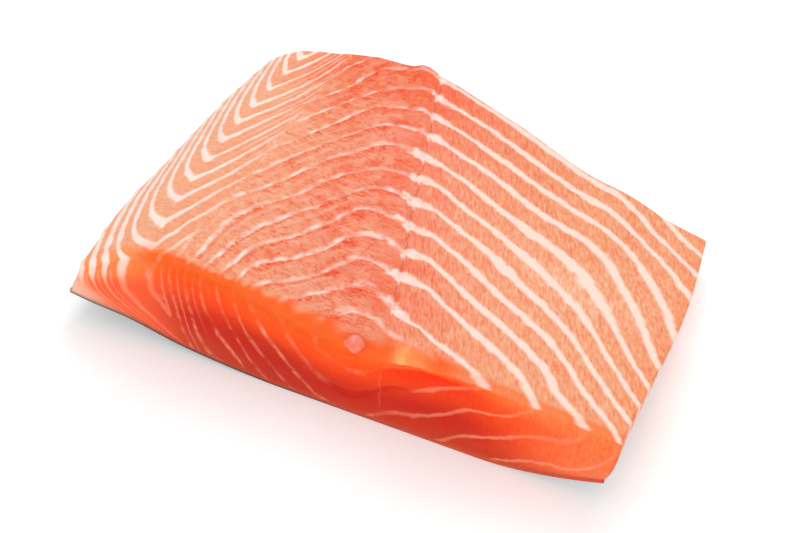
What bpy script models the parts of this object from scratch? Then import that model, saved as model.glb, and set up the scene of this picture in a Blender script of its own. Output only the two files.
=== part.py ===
"""A raw skin-on salmon fillet: one block of flesh cut square across, lying on its skin.

Metres, +Z up. +X runs across the piece from the thick back loin to the thin belly edge,
and +Y from the front cut to the rear cut. The origin is under the middle of the piece.
"""

import bmesh
import bpy
import numpy as np

# Outline of the piece, measured from the left end of the front cut
REACH_LEFT = 0.099
REACH_RIGHT = 0.087
WIDTH = 0.150
REAR_WIDTH = 0.143
EDGE_SWELL = 0.0025
LEFT_RIM = 0.0045
LEFT_SWELL = 0.0020
SKIN_WIDTH = 0.147
SKIN_REAR_WIDTH = 0.1405

# Heights of the flesh side
CREST_FRONT = 0.0275
CREST_REAR = 0.0392
CREST_X_FRONT = 0.094
CREST_X_REAR = 0.058
CREST_SWAY = 0.002
RIM_FRONT = 0.0172
RIM_REAR = 0.0215
LOIN_SLOPES = (-0.035, 0.17)
LOIN_DROP = 0.0026
LOIN_PUFF = 0.0014
LOIN_PUFF_OFF = -0.018
LOIN_PUFF_SPREAD = 0.012
RIDGE_RISE = 0.0025
RIDGE_SPREAD = 0.0035
BELLY_SLOPES = (0.055, 0.48)
BELLY_BENDS = (0.75, -1.8)
FLANK_SLOPES = (0.55, 0.80)
BLEND = 0.0022

# Front top edge, worn round where it is softest
EDGE_ROUND = 0.0015
WORN_ROUND = 0.0075
WORN_X = 0.078
WORN_SPREAD = 0.022
WORN_DROP = 0.8

# Underside, flat in the middle and lifting to both ends
FLAT_LEFT = 0.062
FLAT_RIGHT = 0.116
LIFT_LEFT = (0.0075, 0.0040)
LIFT_RIGHT = (0.0078, 0.0030)
SKIN_THICKNESS = 0.0011
SKIN_GAP = 0.0003

# Muscle flakes, one every pitch along the piece, and their relief
PITCH = 0.0081
FIRST_SEAM = 0.012
SWEEP_START = 0.004
SWEEP_SLOPE = 1.05
SWEEP_BEND = 0.016
FRONT_SWEEP_START = 0.036
FRONT_SWEEP_SLOPE = 0.85
FRONT_SWEEP_REACH = 0.030
BELLY_SWEEPS = (0.52, 0.10)
BELLY_SWEEP_START = 0.005
BELLY_TURN = (0.20, 0.85)
BELLY_CURL = 0.55
BELLY_CURL_WIDTH = 0.023
BELLY_CURL_BEND = 0.003
FLAKE_RISE = 0.82
FLAKE_STEP = 0.0013
FLAKE_STEP_X = 0.060
FLAKE_STEP_SPREAD = 0.025
FLAKE_STEP_REACH = 0.034
FLAKE_STEP_FADE = 1.4
GRAIN_STEP = 0.0002

# Torn flap on the front top edge, with the hollow below it
FLAP_LEFT = 0.087
FLAP_RIGHT = 0.119
FLAP_LIP = 0.0010
FLAP_LIP_REACH = 0.006
HOLLOW_DEPTH = 0.0035
HOLLOW_SHARE = 0.83
HOLLOW_SPREAD = 0.075

# Walls of the cuts and the trimmed sides
LEFT_WALL_SWELL = 0.0020
RIGHT_WALL_SWELL = 0.0008
CUT_SWELL = 0.0010

# Mesh
CELLS_ACROSS = 66
CELLS_ALONG = 40
CELLS_UP = 7
UNDERSIDE_STRIDE = 3
FRONT_ROW_SHARE = 0.55
SKIN_CELLS_ACROSS = 26
SKIN_CELLS_ALONG = 14
SAME = 1e-6

# Finish
FLESH_COLOUR = (0.93, 0.27, 0.12)
FLESH_ROUGHNESS = 0.35
SKIN_COLOUR = (0.16, 0.17, 0.17)
SKIN_ROUGHNESS = 0.30
SMOOTH_ANGLE = 50.0


def mix(first, second, share):
    return first + (second - first) * share


def ease(share):
    share = np.clip(share, 0.0, 1.0)
    return share * share * (3.0 - 2.0 * share)


def bell(value, centre, spread):
    return np.exp(-(((value - centre) / spread) ** 2))


def hump(value, low, high):
    """Rises from 0 at low to 1 midway, and back to 0 at high."""
    share = np.clip((value - low) / (high - low), 0.0, 1.0)
    return np.sin(np.pi * share) ** 0.7


def soft_least(radius, *heights):
    return -radius * np.log(sum(np.exp(-height / radius) for height in heights))


def soft_rise(value, bend):
    """The value where it is above 0, and 0 below, with a bend between."""
    return bend * np.logaddexp(0.0, value / bend)


def reach(x):
    """Depth of the piece from its front cut to its rear cut."""
    return mix(REACH_LEFT, REACH_RIGHT, x / WIDTH)


def left_edge(t):
    return LEFT_RIM - LEFT_SWELL * np.sin(np.pi * t)


def right_edge(t):
    return mix(WIDTH, REAR_WIDTH, t) + EDGE_SWELL * np.sin(np.pi * t)


def crest_x(t):
    """The midline where the back loin meets the belly side."""
    return mix(CREST_X_FRONT, CREST_X_REAR, t) + CREST_SWAY * np.sin(np.pi * t)


def smooth_top(x, t):
    """Height of the flesh side at x, a share t of the way from the front cut."""
    crest = mix(CREST_FRONT, CREST_REAR, t**0.85)
    off = x - crest_x(t)
    turn = ease(t)
    puff = LOIN_PUFF * bell(off, LOIN_PUFF_OFF, LOIN_PUFF_SPREAD)
    ridge = RIDGE_RISE * bell(off, 0.0, RIDGE_SPREAD)
    loin = crest + mix(*LOIN_SLOPES, t) * off + (puff + ridge - LOIN_DROP) * ease(2.0 * t - 1.0)
    belly = crest - mix(*BELLY_SLOPES, turn) * off - mix(*BELLY_BENDS, turn) * off * np.abs(off)
    rim = mix(RIM_FRONT, RIM_REAR, ease(3.0 * t))
    flank = rim + mix(*FLANK_SLOPES, ease(2.0 * t)) * (x - LEFT_RIM)
    top = soft_least(BLEND, loin, belly, flank)
    radius = EDGE_ROUND + WORN_ROUND * bell(x, WORN_X, WORN_SPREAD)
    inside = np.clip(1.0 - reach(x) * t / radius, 0.0, 1.0)
    return top - WORN_DROP * radius * (1.0 - np.sqrt(1.0 - inside**2))


def flake_phase(x, t):
    """Counts the flakes along the piece: whole numbers are the seams between two."""
    y = reach(x) * t
    off = x - crest_x(t)
    loin = np.clip(-off - SWEEP_START, 0.0, None)
    swept = SWEEP_SLOPE * (loin - SWEEP_BEND * (1.0 - np.exp(-loin / SWEEP_BEND)))
    near_cut = ease(1.0 - y / FRONT_SWEEP_REACH)
    swept = swept + FRONT_SWEEP_SLOPE * np.clip(loin - FRONT_SWEEP_START, 0.0, None) * near_cut
    turn = ease((t - BELLY_TURN[0]) / (BELLY_TURN[1] - BELLY_TURN[0]))
    belly = mix(*BELLY_SWEEPS, turn) * np.clip(off - BELLY_SWEEP_START, 0.0, None)
    curl = BELLY_CURL * soft_rise(BELLY_CURL_WIDTH - (right_edge(t) - x), BELLY_CURL_BEND)
    return 1.0 + (y + swept + belly + curl - FIRST_SEAM) / PITCH


def flake_relief(x, t):
    """Low terraces: bold on the soft flakes at the front, faint elsewhere."""
    phase = flake_phase(x, t)
    share = phase - np.floor(phase)
    rise = share / FLAKE_RISE
    fall = (1.0 - share) / (1.0 - FLAKE_RISE)
    terrace = np.minimum(rise, fall) - 0.5
    across = bell(x, FLAKE_STEP_X, FLAKE_STEP_SPREAD)
    along = ease(FLAKE_STEP_FADE - reach(x) * t / FLAKE_STEP_REACH)
    return terrace * (GRAIN_STEP + FLAKE_STEP * across * along) * ease(8.0 * t)


def top_height(x, t):
    lip = FLAP_LIP * hump(x, FLAP_LEFT, FLAP_RIGHT) * ease(1.0 - reach(x) * t / FLAP_LIP_REACH)
    return smooth_top(x, t) + flake_relief(x, t) + lip


def under_height(x, t):
    """Height of the skin's outer face."""
    left = np.clip((FLAT_LEFT - x) / FLAT_LEFT, 0.0, None)
    right = np.clip((x - FLAT_RIGHT) / (WIDTH - FLAT_RIGHT), 0.0, None)
    return mix(*LIFT_LEFT, ease(t)) * left**1.6 + mix(*LIFT_RIGHT, ease(t)) * right**1.7


def place_flesh(a, b, c):
    """Moves a point of the unit block, a across, b along and c up, onto the flesh."""
    t = b * mix(FRONT_ROW_SHARE, 1.0, b)
    x_low = a * mix(SKIN_WIDTH, SKIN_REAR_WIDTH, t)
    x_high = mix(left_edge(t), right_edge(t), a)
    x = mix(x_low, x_high, c)
    low = under_height(x_low, t) + SKIN_THICKNESS + SKIN_GAP
    z = mix(low, top_height(x_high, t), c)
    arch = np.sin(np.pi * c)
    below_flap = bell(c, HOLLOW_SHARE, HOLLOW_SPREAD)
    hollow = HOLLOW_DEPTH * hump(x, FLAP_LEFT, FLAP_RIGHT) * below_flap
    y = reach(x) * t
    y = y + np.where(b < SAME, hollow - CUT_SWELL * arch, 0.0)
    y = y + np.where(b > 1.0 - SAME, CUT_SWELL * arch, 0.0)
    x = x - np.where(a < SAME, LEFT_WALL_SWELL * arch, 0.0)
    x = x + np.where(a > 1.0 - SAME, RIGHT_WALL_SWELL * arch, 0.0)
    return np.stack([x, y, z], axis=1)


def place_skin(a, b, c):
    """Moves a point of the unit block onto the skin, which follows the underside."""
    x = a * mix(SKIN_WIDTH, SKIN_REAR_WIDTH, b)
    return np.stack([x, reach(x) * b, under_height(x, b) + SKIN_THICKNESS * c], axis=1)


def block(cells):
    """A unit block from the origin, cut into the given number of cells each way."""
    mesh = bmesh.new()
    bmesh.ops.create_cube(mesh, size=1.0)
    bmesh.ops.translate(mesh, verts=mesh.verts, vec=(0.5, 0.5, 0.5))
    for axis, count in enumerate(cells):
        along = [edge for edge in mesh.edges if abs(edge.verts[0].co[axis] - edge.verts[1].co[axis]) > SAME]
        if count > 1:
            bmesh.ops.subdivide_edges(mesh, edges=along, cuts=count - 1, use_grid_fill=True)
    return mesh


def thin_underside(mesh, cells, stride):
    """Leaves only every stride-th line of the grid on the underside."""
    spare = []
    for edge in mesh.edges:
        ends = [vert.co for vert in edge.verts]
        if max(ends[0].z, ends[1].z) > SAME:
            continue
        fixed = 0 if abs(ends[0].x - ends[1].x) < SAME else 1
        line = round(ends[0][fixed] * cells[fixed])
        if 0 < line < cells[fixed] and line % stride:
            spare.append(edge)
    bmesh.ops.dissolve_edges(mesh, edges=spare, use_verts=True)


def make_object(name, mesh, place, colour, roughness):
    unit = np.array([vert.co for vert in mesh.verts])
    for vert, spot in zip(mesh.verts, place(*unit.T)):
        vert.co = spot
    bmesh.ops.triangulate(mesh, faces=mesh.faces)
    bmesh.ops.recalc_face_normals(mesh, faces=mesh.faces)
    data = bpy.data.meshes.new(name)
    mesh.to_mesh(data)
    mesh.free()
    material = bpy.data.materials.new(name)
    material.use_nodes = True
    shader = material.node_tree.nodes["Principled BSDF"]
    shader.inputs["Base Color"].default_value = (*colour, 1.0)
    shader.inputs["Roughness"].default_value = roughness
    shader.inputs["Metallic"].default_value = 0.0
    data.materials.append(material)
    data.shade_smooth()
    data.set_sharp_from_angle(angle=np.radians(SMOOTH_ANGLE))
    return bpy.data.objects.new(name, data)


def centre_on_base(pieces):
    """Puts the origin under the middle of all pieces, on the surface that they rest on."""
    spots = np.concatenate([[vert.co for vert in piece.data.vertices] for piece in pieces])
    low = spots.min(axis=0)
    high = spots.max(axis=0)
    shift = (-(low[0] + high[0]) / 2.0, -(low[1] + high[1]) / 2.0, -low[2])
    for piece in pieces:
        for vert in piece.data.vertices:
            vert.co = [vert.co[axis] + shift[axis] for axis in range(3)]
    return shift


def main():
    for old in list(bpy.data.objects):
        bpy.data.objects.remove(old, do_unlink=True)
    fillet = bpy.data.collections.new("salmon_fillet")
    bpy.context.scene.collection.children.link(fillet)
    cells = (CELLS_ACROSS, CELLS_ALONG, CELLS_UP)
    flesh_mesh = block(cells)
    thin_underside(flesh_mesh, cells, UNDERSIDE_STRIDE)
    flesh = make_object("flesh", flesh_mesh, place_flesh, FLESH_COLOUR, FLESH_ROUGHNESS)
    skin_mesh = block((SKIN_CELLS_ACROSS, SKIN_CELLS_ALONG, 1))
    skin = make_object("skin", skin_mesh, place_skin, SKIN_COLOUR, SKIN_ROUGHNESS)
    for piece in (flesh, skin):
        fillet.objects.link(piece)
    centre_on_base((flesh, skin))


main()
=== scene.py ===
"""Looks of a raw skin-on salmon fillet: fine flesh with its seams and fibres, skin, fat and light."""

import math

import bmesh
import bpy
import numpy as np
from mathutils import Matrix, Vector


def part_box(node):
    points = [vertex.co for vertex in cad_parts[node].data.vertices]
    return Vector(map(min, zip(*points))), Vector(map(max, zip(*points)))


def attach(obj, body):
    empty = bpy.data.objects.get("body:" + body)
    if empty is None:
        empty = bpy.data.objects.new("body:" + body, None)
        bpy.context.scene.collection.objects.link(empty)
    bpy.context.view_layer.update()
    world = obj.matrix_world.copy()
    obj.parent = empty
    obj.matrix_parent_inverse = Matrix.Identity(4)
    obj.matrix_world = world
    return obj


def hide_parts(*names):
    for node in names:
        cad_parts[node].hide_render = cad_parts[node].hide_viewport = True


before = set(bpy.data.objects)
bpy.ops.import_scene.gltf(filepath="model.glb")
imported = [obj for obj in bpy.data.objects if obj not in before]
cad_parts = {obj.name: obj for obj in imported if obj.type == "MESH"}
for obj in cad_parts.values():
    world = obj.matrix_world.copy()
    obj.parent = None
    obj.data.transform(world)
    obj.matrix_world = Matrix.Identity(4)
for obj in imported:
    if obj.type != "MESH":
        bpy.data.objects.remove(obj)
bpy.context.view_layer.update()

# A place or a flake is a centre and a spread. A span is where a change starts or ends, and its width

# Outline of the piece, measured from the left end of the front cut
REACH_LEFT = 0.099
REACH_RIGHT = 0.087
WIDTH = 0.150
REAR_WIDTH = 0.143
EDGE_SWELL = 0.0025
LEFT_RIM = 0.0045
LEFT_SWELL = 0.0020
SKIN_WIDTH = 0.147
SKIN_REAR_WIDTH = 0.1405

# Heights of the flesh side
CREST_FRONT = 0.0275
CREST_REAR = 0.0392
CREST_X_FRONT = 0.094
CREST_X_REAR = 0.058
CREST_SWAY = 0.002
RIM_FRONT = 0.0172
RIM_REAR = 0.0215
LOIN_SLOPES = (-0.035, 0.17)
LOIN_DROP = 0.0026
LOIN_PUFF = 0.0014
LOIN_PUFF_PLACE = (-0.018, 0.012)
RIDGE_RISE = 0.0025
RIDGE_SPREAD = 0.0035
BELLY_SLOPES = (0.055, 0.48)
BELLY_BENDS = (0.75, -1.8)
FLANK_SLOPES = (0.55, 0.80)
BLEND = 0.0022

# Front top edge, worn round where it is softest
EDGE_ROUND = 0.0015
WORN_ROUND = 0.0075
WORN_PLACE = (0.078, 0.022)
WORN_DROP = 0.8

# Underside, flat in the middle and lifting to both ends
FLAT_LEFT = 0.062
FLAT_RIGHT = 0.116
LIFT_LEFT = (0.0075, 0.0040)
LIFT_RIGHT = (0.0078, 0.0030)
TIP_CURL = 0.0012
TIP_CURL_PLACE = (0.018, 0.010)
TIP_CURL_SHARE = 0.20
SKIN_THICKNESS = 0.0011

# Muscle flakes, one every pitch along the piece, and their relief
PITCH = 0.0081
FIRST_SEAM = 0.012
SWEEP_START = 0.004
SWEEP_SLOPE = 1.05
SWEEP_BEND = 0.016
FRONT_SWEEP_START = 0.036
FRONT_SWEEP_SLOPE = 0.85
FRONT_SWEEP_REACH = 0.030
BELLY_SWEEPS = (0.52, 0.10)
BELLY_SWEEP_START = 0.005
BELLY_TURN = (0.20, 0.85)
BELLY_CURL = 0.55
BELLY_CURL_WIDTH = 0.023
BELLY_CURL_BEND = 0.003
FLAKE_RISE = 0.82
FLAKE_STEP = 0.0013
FLAKE_STEP_PLACE = (0.060, 0.025)
FLAKE_STEP_REACH = 0.034
FLAKE_STEP_FADE = 1.4
GRAIN_STEP = 0.0002
SIDE_TIP_FRONT = 0.0255
SIDE_TIP_REAR = 0.018
SIDE_FLANK_X = 0.0155
SIDE_FLANK_SLOPES = (2.2, 3.0)
SIDE_BEND = 0.0015
SIDE_OUT_SLOPE = 0.35
SIDE_IN_SLOPE = 1.45
SIDE_IN_BEND = 30.0
SIDE_START = 7.47
SIDE_PITCH = 0.0088
SIDE_MARGIN = 0.0325

# Midline, where the seams of the two sides meet in knots of white tissue
MIDLINE_FRONT = 0.0915
MIDLINE_REAR = 0.0625

# Waves of the seams beside the midline and at the right of the front edge
LOIN_SHIFTS = (-0.42, 0.22)
LOIN_SHIFT_REACH = 0.012
LOIN_WAVE = -0.25
LOIN_WAVE_PLACE = (-0.013, 0.008)
FIRST_LAG = 0.33
FIRST_LAG_FLAKE = (0.7, 0.55)
FIRST_LAG_REACH = 0.008
FIRST_LAG_DEPTH = 0.004
KNOT_LEAD = 0.35
KNOT_LEAD_FLAKE = (0.75, 0.45)
KNOT_LEAD_PLACE = (0.002, 0.007)
END_SHIFTS = (0.40, -0.24)
END_X = 0.130
END_SPREAD = 0.007
END_SPAN = (0.003, 0.012)
END_REACH = 0.012

# Flakes on the faces of the cuts
CUT_GAINS = (45.0, 118.0)
CUT_GAIN_SPAN = (0.038, 0.014)
CUT_EXTRAS = (0.62, 0.20, -0.50)
CUT_EXTRA_SPANS = ((0.070, 0.016), (0.103, 0.014), (0.120, 0.020))
CUT_EXTRA_DEPTH = 0.003
CUT_DIP = 0.22
CUT_DIP_PLACE = (0.1055, 0.005)
CUT_BUMP = 0.35
CUT_BUMP_PLACE = (0.116, 0.010)
CUT_BUMP_SPAN = (0.004, 0.004)
CUT_DRIFT = 28.0
CUT_LEFT_RISE = 60.0
CUT_BLEND = 0.12

# Torn flap on the front top edge, with the hollow below it
FLAP_ENDS = (0.087, 0.119)
FLAP_LIP = 0.0018
FLAP_OVERHANG = 0.0007
FLAP_LIP_REACH = 0.006
HOLLOW_DEPTH = 0.0019
HOLLOW_PLACE = (0.82, 0.10)

# Crease on the front cut, pale wedge of its left tip, and the band that is worn smooth
CREASE_START_SPAN = (0.074, 0.006)
CREASE_END_SPAN = (0.103, 0.010)
CREASE_FLAKE = (1.0, 0.45)
CREASE_DEPTH = 0.0006
CREASE_WIDTH = 0.20
WEDGE_FOOT = 0.0001
WEDGE_HEIGHT = 0.0074
WEDGE_WIDTH = 0.021
WEDGE_PALENESS = 0.85
WEDGE_FADE = 0.018
WEDGE_END_SPAN = (0.025, 0.006)
WORN_BAND = 0.0010
WORN_BAND_SHARE = 0.14

# Walls of the cuts and the trimmed sides
LEFT_WALL_SWELL = 0.0020
LEFT_WALL_START = 0.25
LEFT_WALL_TUCK = 0.0016
LEFT_TUCK_END = 0.12
RIGHT_WALL_SWELL = 0.0008
CUT_SWELL = 0.0010
EDGE_INSETS = (0.0024, 0.0008)
INSET_START_SPAN = (0.004, 0.012)
INSET_SPAN = (0.070, 0.02)
INSET_DEPTH = 0.0020
INSET_REACH = 0.0040
SEAM_DENT = 0.00018
SEAM_DENT_WIDTH = 0.14
SMEAR = 0.00030

# Wobble and folds of the seams
WOBBLE = 0.10
WOBBLE_SIZE = 0.013
WOBBLE_DEPTH = 0.009
WOBBLE_SEED = 11
SIDE_WOBBLE = 0.7
FACE_WOBBLE = 0.8
FOLD = 0.16
FOLD_OFF = 0.022
FOLD_REACH = 0.030
SIDE_SOFTNESS = 0.0020
WALL_LEAN = 0.4

# Fine relief of the top. A swell is a height, a centre and a spread
LOIN_PLACE = (-0.022, 0.026)
BELLY_REACH = 0.015
LUMPS = 0.00042
CALM_LUMPS = 0.00016
SEAM_RIDGE = 0.00018
SEAM_RIDGE_WIDTH = 0.16
LOIN_STEP = 0.00075
LOIN_STEP_RISE = 0.88
CHEVRON_RIDGES = (0.00030, 0.00055)
CHEVRON_SPAN = (0.018, 0.006)
CHEVRON_WIDTH = 0.25
CRACK_DEPTH = 0.0006
CRACK_PLACE = (-0.0008, 0.0007)
CRACK_SWAY = 0.0012
CRACK_SIZES = (0.004, 0.02)
CRACK_SEED = 45
RIM_ROUGHNESS = 0.0004
OUTER_SWELLS = ((0.0013, 0.74, 0.22), (0.0016, 0.13, 0.17))
OUTER_END_SPAN = (0.030, 0.02)
REAR_SWELLS = ((0.0014, 0.088, 0.014), (0.0013, 0.120, 0.008))
REAR_START_SPAN = (0.55, 0.45)

# Noise over the flesh: the seed, and the size of a lump across and along, or down a face
NOISES = {
    "fold": (12, 0.016, 0.009),
    "lumps": (31, 0.0042, 0.0019),
    "calm lumps": (41, 0.008, 0.005),
    "patches": (51, 0.007, 0.0035),
    "painted_glow": (52, 0.008, 1.0),
    "blotch": (53, 0.0026, 0.0014),
    "loin seams": (62, 0.010, 0.005),
    "face seams": (63, 0.012, 0.005),
    "side seams": (64, 0.004, 0.004),
    "between": (65, 0.012, 0.006),
    "seam widths": (66, 0.017, 0.012),
    "smear": (71, 0.012, 0.006),
    "teeth": (81, 0.0022, 1.0),
    "small teeth": (82, 0.0009, 1.0),
    "rim": (83, 0.0025, 0.02),
}

# Painted glow of light through the front top edge: how far it reaches back, and where along the edge that
# changes
GLOW_REACHES = (0.0034, 0.0016, 0.0026, 0.0014)
GLOW_WORN = 0.12
GLOW_START_SPAN = (0.016, 0.012)
GLOW_SPANS = ((0.030, 0.012), (0.080, 0.012), (0.104, 0.010))
GLOW_SHARES = (0.95, 0.45)
SCALLOP = 0.45
SCALLOP_START_SPAN = (0.036, 0.010)
SCALLOP_END_SPAN = (0.098, 0.010)

# Pale blotch beside the flap, and the painted highlights of the belly: a pale patch and a few widened seams
BLOTCH_X = 0.0958
BLOTCH_END_SPAN = (0.106, 0.009)
BLOTCH_REACH = 0.0022
HIGHLIGHT_PLACE = (0.124, 0.013)
HIGHLIGHT_PLACE_ALONG = (0.041, 0.008)
HIGHLIGHT_SEAM_PLACE = (0.106, 0.004)
HIGHLIGHT_SEAM_PLACES_ALONG = ((0.0527, 0.0035), (0.0358, 0.003))
NEAR_EDGE_SPAN = (0.105, 0.015)

# Fine mesh
CELLS_ACROSS = 250
CELLS_ALONG = 168
CELLS_UP = 32
UNDERSIDE_STRIDE = 4
FRONT_ROW_SHARE = 0.55
SKIN_CELLS_ACROSS = 120
SKIN_CELLS_ALONG = 80
SAME = 1e-6
MILLIMETRES = 1000.0

# Lump of fat on the front top edge
LUMP_SPOT = (0.0830, 0.0016, 0.0229)
LUMP_SIZE = (0.0027, 0.0027, 0.0017)
LUMP_ROUGHNESS = 0.20
LUMP_GRAIN = 2.2
LUMP_SEED = 5
LUMP_PALENESS = 0.05

# Camera and light. A light is a name, a spot, a size and a power
LENS = 70.0
SENSOR = 36.0
CAMERA_SPOT = (0.20856, -0.23232, 0.27732)
CAMERA_AZIMUTH = 26.0
CAMERA_ELEVATION = 41.0
LIGHTS = (
    ("window", (-0.05, 0.75, 0.95), 0.8, 4.6),
    ("overhead", (0.05, 0.10, 1.2), 1.0, 1.1),
    ("front", (-0.10, -0.90, 0.24), 0.5, 1.5),
)
BACKDROP = 0.72
TABLE_SIZE = 3.0
TABLE_TONE = (0.82, 0.82, 0.82, 1.0)
TABLE_GLOW = 0.30


def mix(first, second, share):
    return first + (second - first) * share


def ease(share):
    share = np.clip(share, 0.0, 1.0)
    return share * share * (3.0 - 2.0 * share)


def rising(value, start, width):
    """Eases from 0 at the start to 1 a width beyond it."""
    return ease((value - start) / width)


def falling(value, end, width):
    """Eases from 1 a width before the end to 0 at it."""
    return ease((end - value) / width)


def bell(value, centre, spread):
    return np.exp(-(((value - centre) / spread) ** 2))


def hump(value, low, high):
    """Rises from 0 at low to 1 midway, and back to 0 at high."""
    share = np.clip((value - low) / (high - low), 0.0, 1.0)
    return np.sin(np.pi * share) ** 0.7


def swells(value, shapes):
    return sum(height * bell(value, centre, spread) for height, centre, spread in shapes)


def soft_least(radius, *heights):
    return -radius * np.log(sum(np.exp(-height / radius) for height in heights))


def soft_rise(value, bend):
    """The value where it is above 0, and 0 below, with a bend between."""
    return bend * np.logaddexp(0.0, value / bend)


def cloud(u, v, seed):
    """Smooth noise from -1 to 1, one lump for each unit of u and v."""
    size = 256
    grid = np.random.default_rng(seed).uniform(-1.0, 1.0, (size, size))
    left = np.floor(u).astype(int)
    low = np.floor(v).astype(int)
    across = ease(u - left)
    up = ease(v - low)
    first = mix(grid[left % size, low % size], grid[(left + 1) % size, low % size], across)
    second = mix(grid[left % size, (low + 1) % size], grid[(left + 1) % size, (low + 1) % size], across)
    return mix(first, second, up)


def layered_cloud(u, v, seed):
    """Smooth noise with two finer layers on it."""
    coarse = 0.6 * cloud(u, v, seed)
    middle = 0.3 * cloud(2.1 * u, 2.1 * v, seed + 1)
    return coarse + middle + 0.15 * cloud(4.3 * u, 4.3 * v, seed + 2)


def colour(red, green, blue):
    """A linear colour from the 0 to 255 values of a screen."""
    shares = np.array([red, green, blue]) / 255.0
    return np.where(shares <= 0.04045, shares / 12.92, ((shares + 0.055) / 1.055) ** 2.4)


LOIN_TONE = colour(246, 168, 126)
BELLY_TONE = colour(245, 165, 120)
FLANK_TONE = colour(246, 174, 134)
CREST_TONE = colour(245, 144, 110)
PATCH_TONE = colour(246, 98, 54)
REAR_TONE = colour(246, 104, 56)
# Painted glow of light through the front top edge of the flesh
PAINTED_GLOW_TONE = colour(255, 98, 18)
# Painted glow of light through the upper part of the cut
FACE_TOP_GLOW_TONE = colour(255, 80, 16)
FACE_TONE = colour(201, 25, 0)
FACE_FOOT_TONE = colour(200, 56, 14)
FACE_LEFT_TOP_TONE = colour(253, 138, 74)
FACE_MIDDLE_TONE = colour(184, 30, 4)
FACE_LEFT_TONE = colour(247, 91, 46)
FACE_RIGHT_TONE = colour(246, 123, 70)
FLANK_EDGE_TONE = colour(253, 152, 92)
EDGE_RIGHT_TONE = colour(253, 134, 72)
# Painted glow of light through the torn flap, in the hollow below it
HOLLOW_GLOW_TONE = colour(252, 54, 4)
TIP_TONE = colour(246, 194, 166)
FOOT_TONE = colour(222, 84, 54)
FAT_TONE = colour(250, 124, 96)
FAT_LIGHT_TONE = colour(255, 208, 170)
SEAM_TONE = colour(255, 227, 213)
KNOT_TONE = colour(255, 232, 221)
FACE_SEAM_TONE = colour(255, 170, 130)
SPOT_TONE = colour(238, 84, 46)
PALE_TONE = colour(250, 184, 152)
BLOTCH_TONE = colour(255, 196, 124)
DARK_STROKE = (0.96, 0.53, 0.38, 1.0)
LIGHT_STROKE = (1.01, 1.34, 1.58, 1.0)
# Painted shade: under the rims of the flakes, and in the grooves of the torn fibres
RIM_SHADE = (0.99, 0.48, 0.30, 1.0)
TEAR_SHADE = (0.96, 0.50, 0.36, 1.0)
CRACK_TONE = colour(216, 60, 40)
# Painted shade along the crease of the front cut
CREASE_SHADE_TONE = colour(206, 36, 20)
SKIN_BACK_TONE = colour(52, 60, 60)
SKIN_BELLY_TONE = colour(168, 172, 166)
SKIN_RIM_TONE = colour(60, 62, 58)
SKIN_EDGE_TONE = colour(46, 50, 48)
SKIN_EDGE_PALE_TONE = colour(206, 76, 50)
WHITE = (1.0, 1.0, 1.0, 1.0)

# Densities of the fibres and tears along the three axes, per metre
BELLY_FIBRES = (1900.0, 430.0, 500.0)
LOIN_FIBRES = (420.0, 1500.0, 900.0)
LUMP_FIBRES = (900.0, 350.0, 500.0)
TEARS = (230.0, 900.0, 900.0)
BELLY_FIBRE_TURN = -0.45
LOIN_FIBRE_TURN = 0.06
BUMP_DEPTH = 0.0003

# Sockets of the nodes
FLOAT = "NodeSocketFloat"
VECTOR = "NodeSocketVector"
MIX_SOCKETS = {"RGBA": ((0, 6, 7), 2), "FLOAT": ((0, 2, 3), 0)}


def reach(x):
    """Depth of the piece from its front cut to its rear cut."""
    return mix(REACH_LEFT, REACH_RIGHT, x / WIDTH)


def left_edge(t):
    return LEFT_RIM - LEFT_SWELL * np.sin(np.pi * t)


def right_edge(t):
    return mix(WIDTH, REAR_WIDTH, t) + EDGE_SWELL * np.sin(np.pi * t)


def crest_x(t):
    """The midline where the back loin meets the belly side."""
    return mix(CREST_X_FRONT, CREST_X_REAR, t) + CREST_SWAY * np.sin(np.pi * t)


def edge_radius(x):
    return EDGE_ROUND + WORN_ROUND * bell(x, *WORN_PLACE)


def smooth_top(x, t):
    """Height of the flesh side at x, a share t of the way from the front cut."""
    crest = mix(CREST_FRONT, CREST_REAR, t**0.85)
    off = x - crest_x(t)
    turn = ease(t)
    puff = LOIN_PUFF * bell(off, *LOIN_PUFF_PLACE)
    ridge = RIDGE_RISE * bell(off, 0.0, RIDGE_SPREAD)
    loin = crest + mix(*LOIN_SLOPES, t) * off + (puff + ridge - LOIN_DROP) * ease(2.0 * t - 1.0)
    belly = crest - mix(*BELLY_SLOPES, turn) * off - mix(*BELLY_BENDS, turn) * off * np.abs(off)
    rim = mix(RIM_FRONT, RIM_REAR, ease(3.0 * t))
    flank = rim + mix(*FLANK_SLOPES, ease(2.0 * t)) * (x - LEFT_RIM)
    top = soft_least(BLEND, loin, belly, flank)
    radius = edge_radius(x)
    inside = np.clip(1.0 - reach(x) * t / radius, 0.0, 1.0)
    return top - WORN_DROP * radius * (1.0 - np.sqrt(1.0 - inside**2))


def flake_phase(x, t):
    """Counts the flakes along the piece: whole numbers are the seams between two."""
    y = reach(x) * t
    off = x - crest_x(t)
    loin = np.clip(-off - SWEEP_START, 0.0, None)
    swept = SWEEP_SLOPE * (loin - SWEEP_BEND * (1.0 - np.exp(-loin / SWEEP_BEND)))
    near_cut = ease(1.0 - y / FRONT_SWEEP_REACH)
    swept = swept + FRONT_SWEEP_SLOPE * np.clip(loin - FRONT_SWEEP_START, 0.0, None) * near_cut
    turn = ease((t - BELLY_TURN[0]) / (BELLY_TURN[1] - BELLY_TURN[0]))
    belly = mix(*BELLY_SWEEPS, turn) * np.clip(off - BELLY_SWEEP_START, 0.0, None)
    curl = BELLY_CURL * soft_rise(BELLY_CURL_WIDTH - (right_edge(t) - x), BELLY_CURL_BEND)
    return 1.0 + (y + swept + belly + curl - FIRST_SEAM) / PITCH


def tip_x(t):
    """Where the chevrons of the outer loin have their tips."""
    return mix(SIDE_TIP_REAR, SIDE_TIP_FRONT, (1.0 - t) ** 3)


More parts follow.
